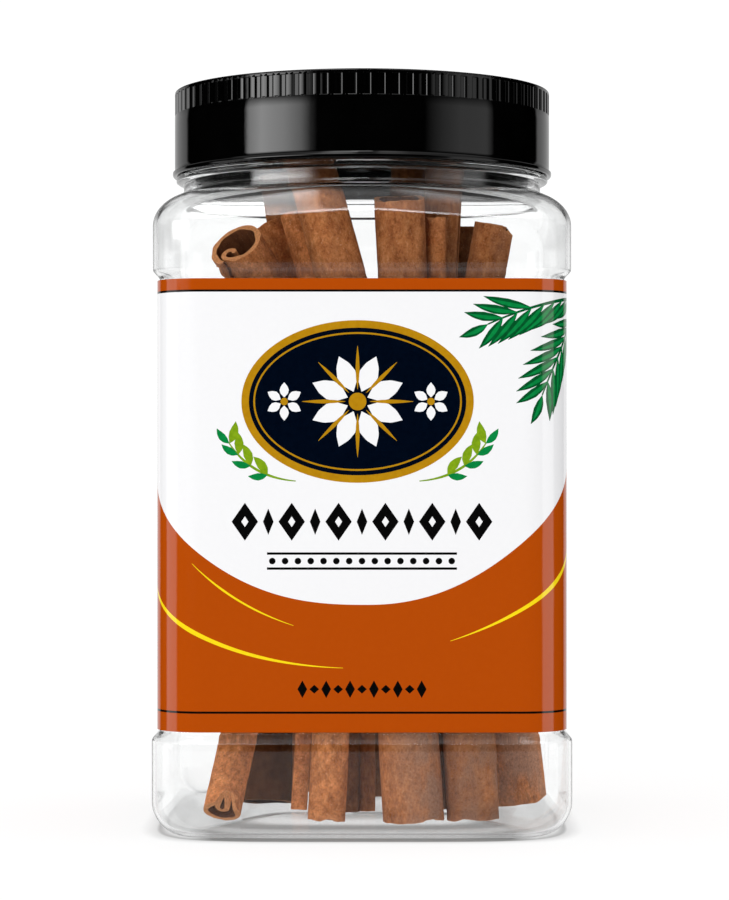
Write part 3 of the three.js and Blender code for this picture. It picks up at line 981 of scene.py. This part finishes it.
def section(stick, count, draw):
    """The bark's closed outline: its points, which face of the bark each is on (0 outside,
    1 inside), how far round the sheet it lies, and which way the skin faces there."""
    bark = stick.bark * lerp(0.9, 1.1, draw())
    line = roll_line(stick, bark, count)
    wobble = [draw() * TAU for _ in range(3)]
    angle = np.arctan2(line[:, 1], line[:, 0])
    dent = 0.028 * np.cos(2 * angle + wobble[0]) + 0.014 * np.cos(3 * angle + wobble[1])
    line = line * (0.97 + dent)[:, None]
    ahead = np.gradient(line, axis=0)
    ahead /= np.linalg.norm(ahead, axis=1)[:, None]
    outward = np.stack([ahead[:, 1], -ahead[:, 0]], 1)
    run = np.concatenate([[0], np.cumsum(np.linalg.norm(np.diff(line, axis=0), axis=1))])
    thickness = bark * (1 + 0.16 * np.sin(run * 1.3 + wobble[2]))
    half = (thickness / 2)[:, None]
    outer = line + outward * half
    inner = line - outward * half
    lip_end = line[-1:] + ahead[-1:] * bark * 0.3
    lip_start = line[:1] - ahead[:1] * bark * 0.3
    outline = np.vstack([outer, lip_end, inner[::-1], lip_start])
    face = np.concatenate([np.zeros(len(line)), [0.5], np.ones(len(line)), [0.5]])
    around = np.concatenate([run, [run[-1]], run[::-1], [0.0]])
    normal = np.vstack([outward, ahead[-1:], -outward[::-1], -ahead[:1]])
    return outline, face, around, normal


def rim_shift(outline, stick, index, dip, side):
    """How far the broken rim lies beyond the sawn end of a stick, at each point."""
    shift = np.empty(len(outline))
    for j, (x, y) in enumerate(outline):
        broad = noise.noise((x * 0.45, y * 0.45, index * 7.3 + side * 50))
        fine = noise.noise((x * 1.9, y * 1.9, index * 3.1 + side * 20))
        shift[j] = stick.ragged * (broad + 0.45 * fine)
    shift = np.minimum(shift, RIM_LIMIT)
    if dip:
        middle, spread_angle, depth = dip
        angles = np.arctan2(outline[:, 1], outline[:, 0]) + stick.seam
        off = np.degrees(np.angle(np.exp(1j * (angles - radians(middle)))))
        outermost = np.linalg.norm(outline, axis=1) / (stick.diameter / 2)
        rim_only = ease((outermost - 0.45) / 0.3)
        shift -= depth * ease(1.35 - np.abs(off) / spread_angle) * rim_only
    return shift


def levels_along(stick, window, steps):
    """Distances along a stick, close together in the stretch that a window shows."""
    end = stick.length
    levels = [0.0, 0.12, 0.4]
    place = 0.4
    while place < end - 0.5:
        height = stick.foot[2] + stick.axis[2] * place
        place += steps[0] if window[0] <= height <= window[1] else steps[1]
        if place < end - 0.5:
            levels.append(place)
    return levels + [end - 0.4, end - 0.12, end]


def relief(around, along, offset):
    """How far the skin stands out, at each point: broad waves and finer ones."""
    heights = np.empty(len(around))
    for j, (x, y) in enumerate(zip(around, along)):
        broad = noise.noise((x * 0.5, y * 0.07, offset[0]))
        fine = noise.noise((x * 1.7, y * 0.35, offset[1]))
        heights[j] = BROAD_RELIEF * broad + FINE_RELIEF * fine
    return heights


def quill_mesh(stick, index, window, detail, draw):
    """One quill as arrays: points, faces, grain coordinates and the bark's masks."""
    outline, face, around, normal = section(stick, detail["count"], draw)
    levels = levels_along(stick, window, detail["steps"])
    first, second = stick.cross_axes()
    offset = np.array([draw() * 500, draw() * 500, draw() * 500])
    foot_shift = -rim_shift(outline, stick, index, stick.foot_dip, 0)
    tip_shift = rim_shift(outline, stick, index, stick.tip_dip, 1)
    # Greyer bark on the side that grey_side faces, mostly the side away from the lamp: partly the
    # bark's own colour, partly painted shade.
    angles = np.arctan2(outline[:, 1], outline[:, 0])
    facing = angles + stick.seam - radians(stick.grey_side)
    grey_and_shade = stick.grey * ease(0.5 + 0.5 * np.cos(facing))
    bow = (draw() - 0.5) * BOW
    bow_way = draw() * TAU
    bow_line = np.array([cos(bow_way), sin(bow_way)])
    # The tone: a drawn bark tone, painted darker as shade for the rear rows and less so by the
    # rear wall, unless the row gives one.
    tone_and_shade = lerp(*detail["tones_and_shades"], draw()) + (REAR_SHADE_LIFT if stick.foot[1] > REAR_FROM else 0)
    if stick.tone_and_shade is not None:
        tone_and_shade = stick.tone_and_shade
    points, grains, masks = [], [], []
    for i, level in enumerate(levels):
        near_foot = ease(1 - level / RIM_REACH)
        near_tip = ease(1 - (stick.length - level) / RIM_REACH)
        along = level + (foot_shift * near_foot + tip_shift * near_tip)
        swell = 1 + SWELL * sin(level * 0.11 + offset[0])
        skin = relief(around, along, offset) * (1 - 0.5 * face)
        plan = outline * swell + normal * skin[:, None]
        plan = plan + bow * sin(pi * (level / stick.length)) * bow_line
        places = stick.foot + plan[:, :1] * first + plan[:, 1:] * second
        places = places + along[:, None] * stick.axis
        points.append(places)
        grains.append(np.stack([around + offset[0], along + offset[1], offset[2] + face * 20], 1))
        cut = np.full(len(face), float(i in (0, len(levels) - 1)))
        # Painted shade of the lid: tips that stand up into the neck are darkened.
        lift = (places[:, 2] - LID_SHADE[0]) / (LID_SHADE[1] - LID_SHADE[0])
        masks.append(np.stack([face, cut, tone_and_shade * (1 - ease(lift)), grey_and_shade], 1))
    quads = quill_faces(len(levels), len(outline))
    return np.vstack(points), quads, np.vstack(grains), np.vstack(masks)


def quill_faces(rows, total):
    """Quads up the sides of a quill, then the strips that close its two ends."""
    faces = loft_faces(rows, total)
    half = (total - 2) // 2
    for row, flip in ((0, False), (rows - 1, True)):
        base = row * total
        ends = []
        for j in range(half - 1):
            inner = base + total - 2 - j
            ends.append((base + j, inner, inner - 1, base + j + 1))
        ends.append((base + half - 1, base + half + 1, base + half))
        ends.append((base, base + total - 1, base + total - 2))
        faces += [face[::-1] if flip else face for face in ends]
    return faces


def make_quills(name, sticks, window, detail, material, seed):
    """A group of quills as one piece, with what the bark's material reads."""
    draw = make_draw(seed)
    points, faces, grains, masks = [], [], [], []
    start = 0
    for index, stick in enumerate(sticks):
        spots, quads, grain, mask = quill_mesh(stick, index, window, detail, draw)
        faces += [tuple(start + i for i in quad) for quad in quads]
        points.append(spots)
        grains.append(grain)
        masks.append(mask)
        start += len(spots)
    piece = new_piece(name, np.vstack(points), faces, material)
    piece.data.set_sharp_from_angle(angle=radians(60))
    attributes = piece.data.attributes
    masks = np.vstack(masks)
    for title, values in (("grain", np.vstack(grains)), ("bark", masks[:, :3])):
        layer = attributes.new(title, "FLOAT_VECTOR", "POINT")
        layer.data.foreach_set("vector", values.astype(np.float32).ravel())
    layer = attributes.new("grey", "FLOAT", "POINT")
    layer.data.foreach_set("value", masks[:, 3].astype(np.float32))
    piece.visible_glossy = False
    return piece


# --- materials


def colour_of(value):
    """A colour with its alpha, from red, green and blue or from one level of grey."""
    return (*value, 1) if isinstance(value, tuple) else (value, value, value, 1)


class Graph:
    """Short calls for the nodes used here. A value is a number, a tuple or a socket."""

    def __init__(self, tree):
        self.tree = tree

    def find(self, kind):
        return next(node for node in self.tree.nodes if node.type == kind)

    def node(self, kind, **settings):
        node = self.tree.nodes.new("ShaderNode" + kind)
        for name, value in settings.items():
            setattr(node, name, value)
        return node

    def feed(self, node, values):
        """Gives inputs, by name or number, what they link to or hold."""
        for key, value in values.items():
            socket = node.inputs[key]
            if hasattr(value, "links"):
                self.tree.links.new(value, socket)
            elif socket.type == "RGBA":
                socket.default_value = colour_of(value)
            else:
                socket.default_value = value
        return node

    def place(self, kind="Object"):
        return self.node("TexCoord").outputs[kind]

    def split(self, vector):
        return self.feed(self.node("SeparateXYZ"), {0: vector}).outputs

    def scaled(self, vector, scale):
        node = self.feed(self.node("Mapping"), {"Vector": vector, "Scale": scale})
        return node.outputs["Vector"]

    def noise(self, vector, scale, detail=4.0, roughness=0.55):
        values = {"Vector": vector, "Scale": scale, "Detail": detail, "Roughness": roughness}
        return self.feed(self.node("TexNoise"), values).outputs["Fac"]

    def math(self, operation, *values):
        node = self.node("Math", operation=operation)
        return self.feed(node, dict(enumerate(values))).outputs[0]

    def ramp(self, value, stops):
        """A colour ramp from (place, colour or grey) stops."""
        node = self.feed(self.node("ValToRGB"), {"Fac": value})
        elements = node.color_ramp.elements
        for element, (place, colour) in zip(elements, (stops[0], stops[-1])):
            element.position, element.color = place, colour_of(colour)
        for place, colour in stops[1:-1]:
            elements.new(place).color = colour_of(colour)
        return node.outputs["Color"]

    def mottled(self, value, low, high):
        """From one colour to another over the middle of a noise."""
        return self.ramp(value, [(0.3, low), (0.7, high)])

    def mix(self, factor, first, second, mode="MIX"):
        node = self.node("Mix", data_type="RGBA", blend_type=mode)
        return self.feed(node, {0: factor, 6: first, 7: second}).outputs[2]

    def times(self, first, second, factor=1.0):
        return self.mix(factor, first, second, "MULTIPLY")

    def bump(self, height, strength, distance):
        values = {"Height": height, "Strength": strength, "Distance": distance}
        return self.feed(self.node("Bump"), values).outputs["Normal"]


def new_material(name):
    """A material, its graph and its Principled shader."""
    material = bpy.data.materials.new(name)
    material.use_nodes = True
    graph = Graph(material.node_tree)
    return material, graph, graph.find("BSDF_PRINCIPLED")


def clear_plastic():
    """Colourless blown plastic that lets the lamp through."""
    material, graph, shader = new_material("clear_plastic")
    ripple = graph.noise(graph.scaled(graph.place(), (1, 1, 0.4)), 60.0, 2.0)
    graph.feed(shader, {
        "Base Color": (0.995, 1.0, 1.0),
        "Roughness": 0.02,
        "IOR": 1.38,
        "Transmission Weight": 1.0,
        "Normal": graph.bump(ripple, 0.04, 0.0004),
    })
    lamps = graph.node("LightPath").outputs["Is Shadow Ray"]
    through = graph.feed(graph.node("BsdfTransparent"), {"Color": (0.93, 0.94, 0.94)})
    shaders = {0: lamps, 1: shader.outputs["BSDF"], 2: through.outputs["BSDF"]}
    mix = graph.feed(graph.node("MixShader"), shaders)
    graph.feed(graph.find("OUTPUT_MATERIAL"), {"Surface": mix.outputs["Shader"]})
    return material


def black_plastic():
    """Moulded black plastic, glossy, with a faint unevenness."""
    material, graph, shader = new_material("black_plastic")
    place = graph.place()
    graph.feed(shader, {
        "Base Color": graph.mottled(graph.noise(place, 90.0), 0.0003, 0.0008),
        "Roughness": graph.mottled(graph.noise(place, 240.0, 3.0), 0.02, 0.04),
        "IOR": 1.5,
        "Specular IOR Level": 0.2,
        "Normal": graph.bump(graph.noise(place, 420.0, 2.0), 0.05, 0.0001),
    })
    return material


def matt_plastic():
    """The lid's inside: the same black plastic as it leaves the mould, not polished."""
    material, graph, shader = new_material("black_plastic_inside")
    graph.feed(shader, {
        "Base Color": graph.mottled(graph.noise(graph.place(), 120.0, 3.0), 0.0020, 0.0045),
        "Roughness": 0.8,
        "Specular IOR Level": 0.1,
    })
    return material


def printed(name, light, dark, roughness=0.08):
    """A printed colour: even, with the faint mottle of ink on film."""
    material, graph, shader = new_material("ink_" + name)
    place = graph.place()
    wave = graph.noise(graph.scaled(place, (1, 1, 0.35)), 55.0, 2.0)
    graph.feed(shader, {
        "Base Color": graph.mottled(graph.noise(place, 900.0, 3.0), dark, light),
        "Roughness": roughness,
        "IOR": 1.45,
        "Normal": graph.bump(wave, 0.05, 0.0004),
    })
    return material


def label_materials():
    """One material for each ink, in the order of the ink numbers."""
    return [
        printed("orange", (0.450, 0.0675, 0.0015), (0.440, 0.0650, 0.0013)),
        printed("white", (0.890, 0.890, 0.902), (0.880, 0.880, 0.892)),
        printed("black", (0.003, 0.003, 0.003), (0.002, 0.002, 0.002)),
        printed("gold", (0.49, 0.245, 0.005), (0.43, 0.205, 0.003)),
        printed("navy", (0.0006, 0.0030, 0.0095), (0.0003, 0.0020, 0.0070)),
        printed("green", (0.0015, 0.105, 0.026), (0.0008, 0.070, 0.016)),
        printed("fern", (0.0030, 0.250, 0.055), (0.0018, 0.190, 0.040)),
        printed("leaf", (0.24, 0.40, 0.010), (0.15, 0.28, 0.006)),
        printed("yellow", (0.95, 0.72, 0.010), (0.90, 0.67, 0.008)),
        printed("film_back", (0.78, 0.77, 0.75), (0.74, 0.73, 0.71), 0.45),
    ]


def cinnamon_bark():
    """Dry bark: mottled outside with pale scars, darker inside, bright where it is cut, with
    painted shade on quills deep in the heap and on tips up in the neck.
    """
    material, graph, shader = new_material("cinnamon_bark")

    def attribute(name, output):
        return graph.node("Attribute", attribute_name=name).outputs[output]

    def cloud(across, along, detail, roughness=0.5):
        """Noise at this many waves to the millimetre across the grain and along it."""
        return graph.noise(graph.scaled(grain, (across, along, 1)), 1.0, detail, roughness)

    grain = attribute("grain", "Vector")
    inside, cut, tone_and_shade = graph.split(attribute("bark", "Vector"))

    patch = cloud(0.20, 0.09, 3.0)
    mottle = cloud(0.80, 0.45, 5.0, 0.62)
    fleck = cloud(2.6, 1.9, 3.0, 0.65)
    fibre = cloud(5.5, 1.1, 3.0, 0.6)
    blotch = cloud(0.36, 0.17, 2.0)
    scar = cloud(1.25, 0.75, 2.0)

    outer = graph.ramp(mottle, [
        (0.28, (0.300, 0.094, 0.030)),
        (0.44, (0.450, 0.155, 0.052)),
        (0.57, (0.550, 0.205, 0.072)),
        (0.74, (0.680, 0.290, 0.118)),
    ])
    blotches = graph.ramp(blotch, [(0.34, (0.80, 0.78, 0.77)), (0.62, 1.08)])
    outer = graph.times(outer, blotches)
    # Grey-brown patches where each quill's grey mask is set: partly the bark's own colour, partly
    # painted shade on the side away from the lamp.
    grey_and_shade = graph.times(graph.ramp(patch, [(0.36, 0.0), (0.60, 1.0)]), attribute("grey", "Fac"))
    outer = graph.mix(grey_and_shade, outer, (0.360, 0.180, 0.112))
    pits = graph.ramp(fleck, [(0.34, (0.50, 0.46, 0.44)), (0.50, 1.0)])
    outer = graph.times(outer, pits, 0.65)
    fibres = graph.ramp(fibre, [(0.35, (0.90, 0.88, 0.86)), (0.65, 1.08)])
    outer = graph.times(outer, fibres, 0.6)
    line = graph.ramp(scar, [(0.478, 0.0), (0.492, 1.0), (0.498, 1.0), (0.512, 0.0)])
    where = graph.ramp(fleck, [(0.54, 0.0), (0.64, 0.85)])
    outer = graph.mix(graph.times(line, where), outer, (0.74, 0.43, 0.24))

    inner = graph.mottled(mottle, (0.075, 0.026, 0.012), (0.190, 0.070, 0.030))
    rim = graph.ramp(fleck, [(0.35, (0.36, 0.135, 0.048)), (0.6, (0.92, 0.405, 0.172))])
    # shade scales the outside by the quill's tone and painted shade; hollow darkens the inside
    # and the cut rim of quills that are painted dark as shade.
    shade = graph.ramp(tone_and_shade, [(0.0, 0.20), (1.0, 2.0)])
    hollow = graph.ramp(tone_and_shade, [(0.0, 0.20), (0.45, 1.0)])
    bark = graph.mix(inside, graph.times(outer, shade), graph.times(inner, hollow))
    height = graph.mix(0.4, fleck, graph.mix(0.5, fibre, mottle))
    graph.feed(shader, {
        "Base Color": graph.mix(cut, bark, graph.times(rim, hollow)),
        "Roughness": graph.mottled(mottle, 0.70, 0.88),
        "Specular IOR Level": 0.05,
        "Normal": graph.bump(height, 0.6, 0.0005),
    })
    return material


# --- stage, light, camera


def floor_glow_and_shadow(graph, place):
    """Painted soft rings of light and of contact shadow under the jar, evened out towards its
    left and right sides.
    """
    sizes = [graph.math("ABSOLUTE", value) for value in graph.split(place)[:2]]
    total = graph.math("ADD", *[graph.math("POWER", size, 5.0) for size in sizes])
    outward = graph.math("MULTIPLY", graph.math("POWER", total, 0.2), 10.0)
    side = graph.ramp(graph.math("MULTIPLY", sizes[0], 10.0), FLOOR_SIDE_SHARE)
    evened = graph.times(side, graph.ramp(outward, FLOOR_UNDER_JAR))
    return graph.mix(evened, graph.ramp(outward, FLOOR_GLOW_AND_SHADOW), FLOOR_SIDE_GLOW)


def make_stage():
    """A wide white floor that glows evenly, with painted light and painted contact shadow under
    the jar for the clear base to show.
    """
    material, graph, shader = new_material("studio_floor")
    place = graph.place()
    graph.feed(shader, {
        "Base Color": graph.mottled(graph.noise(place, 3.0), 0.28, 0.30),
        "Roughness": 0.9,
        "Specular IOR Level": 0.0,
        "Emission Color": floor_glow_and_shadow(graph, place),
        "Emission Strength": 1.0,
    })
    corners = [(-1, -1), (1, -1), (1, 1), (-1, 1)]
    points = [(x * FLOOR_REACH, y * FLOOR_REACH, -0.05) for x, y in corners]
    floor_piece = new_piece("studio_floor", points, [(0, 1, 2, 3)], material)
    floor_piece.visible_glossy = False


def make_world():
    """An even wall for the camera and for light through the jar, soft boxes for gloss, and
    even light for matt surfaces."""
    world = bpy.data.worlds.new("studio")
    bpy.context.scene.world = world
    world.use_nodes = True
    world.cycles.sampling_method = "NONE"
    graph = Graph(world.node_tree)
    path = graph.node("LightPath").outputs

    def after(depth, bounces):
        return graph.math("GREATER_THAN", path[depth], bounces - 0.5)

    boxes = soft_boxes(graph)
    trapped = graph.mix(WALL_FOR_TRAPPED, boxes, BACKDROP)
    boxes = graph.mix(after("Glossy Depth", 2), boxes, trapped)
    seen = graph.mix(after("Glossy Depth", 1), BACKDROP, boxes)
    colour = graph.mix(after("Diffuse Depth", 1), seen, AMBIENT)
    graph.feed(graph.find("BACKGROUND"), {"Color": colour})


def soft_boxes(graph):
    """What gloss reflects: tall boxes left and right, a pale wall behind, lights above."""
    x, y, z = graph.split(graph.place("Generated"))
    turn = graph.math("ARCTAN2", x, graph.math("MULTIPLY", y, -1.0))
    share = graph.math("MULTIPLY_ADD", turn, 1 / TAU, 0.5)
    height = graph.math("MULTIPLY_ADD", z, 0.5, 0.5)

    def compass(stops):
        return graph.ramp(share, [(angle / 360 + 0.5, level) for angle, level in stops])

    above_head = overhead_box(graph, x, y, height)
    raised = graph.times(compass(RAISED_BOXES), graph.ramp(height, RAISED_FADE))
    eye_level = compass(EYE_LEVEL_BOXES)
    total = graph.mix(graph.ramp(height, RAISED_START), eye_level, raised)
    total = graph.mix(graph.ramp(height, OVERHEAD_START), total, above_head)
    total = graph.mix(1.0, total, graph.ramp(height, LOW_GLOW), "ADD")
    return graph.times(total, BOX_LIGHT)


def overhead_box(graph, x, y, height):
    """The box above the jar: bright left of a slanting edge, with a bright lower rim."""
    slant = graph.math("MULTIPLY_ADD", height, OVERHEAD_SLANT, -OVERHEAD_SLANT * OVERHEAD_FOOT)
    place = graph.math("MULTIPLY_ADD", graph.math("ADD", x, slant), 0.5, 0.5)
    box = graph.ramp(place, OVERHEAD_BOX)
    rim = graph.times(graph.ramp(height, RIM_LIGHT_HEIGHT), graph.ramp(place, RIM_LIGHT_WIDTH))
    rear = graph.math("MULTIPLY_ADD", y, 0.5, 0.5)
    return graph.times(graph.mix(rim, box, RIM_LIGHT), graph.ramp(rear, OVERHEAD_FADE))


def make_lamp():
    """A square lamp for matt surfaces only. Azimuth 0 is where the camera stands."""
    lamp = bpy.data.lights.new("key_lamp", "AREA")
    lamp.size = LAMP_SIZE
    lamp.energy = LAMP_POWER
    turn = radians(LAMP_AZIMUTH)
    place = Vector((LAMP_DISTANCE * sin(turn), -LAMP_DISTANCE * cos(turn), LAMP_HEIGHT))
    holder = add_object("key_lamp", lamp, place)
    holder.rotation_euler = (LAMP_TARGET - place).to_track_quat("-Z", "Y").to_euler()
    holder.visible_camera = False
    holder.visible_glossy = False
    holder.visible_transmission = False


def make_camera():
    """A level camera in front of the label."""
    camera = bpy.data.cameras.new("camera")
    camera.sensor_width = 36
    camera.lens = CAMERA_LENS
    camera.shift_x, camera.shift_y = CAMERA_SHIFT
    camera.clip_start = 0.01
    camera.dof.use_dof = False
    holder = add_object("camera", camera, CAMERA_PLACE)
    holder.rotation_euler = (pi / 2, 0, 0)
    bpy.context.scene.camera = holder


# --- main


def dress(piece, node):
    """Hangs a piece on the root body and hides the node that it stands for."""
    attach(piece, "root")
    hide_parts(node)


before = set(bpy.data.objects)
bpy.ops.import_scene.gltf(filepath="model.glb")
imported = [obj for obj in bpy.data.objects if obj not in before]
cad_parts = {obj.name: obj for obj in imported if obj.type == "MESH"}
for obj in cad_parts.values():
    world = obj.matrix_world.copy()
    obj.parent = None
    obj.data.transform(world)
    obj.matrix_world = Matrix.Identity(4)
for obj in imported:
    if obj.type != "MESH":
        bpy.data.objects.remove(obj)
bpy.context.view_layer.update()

make_camera()
make_world()
make_lamp()
make_stage()
bpy.context.scene.view_settings.view_transform = "Standard"

dress(make_jar(clear_plastic()), "jar")
dress(make_cap(black_plastic(), matt_plastic()), "cap")
dress(make_label(label_materials()), "label")

bark_material = cinnamon_bark()
lower_front = window_sticks(LOWER_STICKS, from_tip=False)
upper_front = window_sticks(UPPER_STICKS, from_tip=True)
lower_back = fill(lower_front, LOWER_FILL)
upper_back = fill(upper_front, UPPER_FILL)
for group in (
    ("quills_lower_front", lower_front, LOWER_WINDOW, FRONT_ROW, bark_material, 101),
    ("quills_lower_back", lower_back, LOWER_WINDOW, REAR_ROWS, bark_material, 102),
    ("quills_upper_front", upper_front, UPPER_WINDOW, FRONT_ROW, bark_material, 103),
    ("quills_upper_back", upper_back, UPPER_WINDOW, REAR_ROWS, bark_material, 104),
):
    dress(make_quills(*group), "cinnamon_sticks")
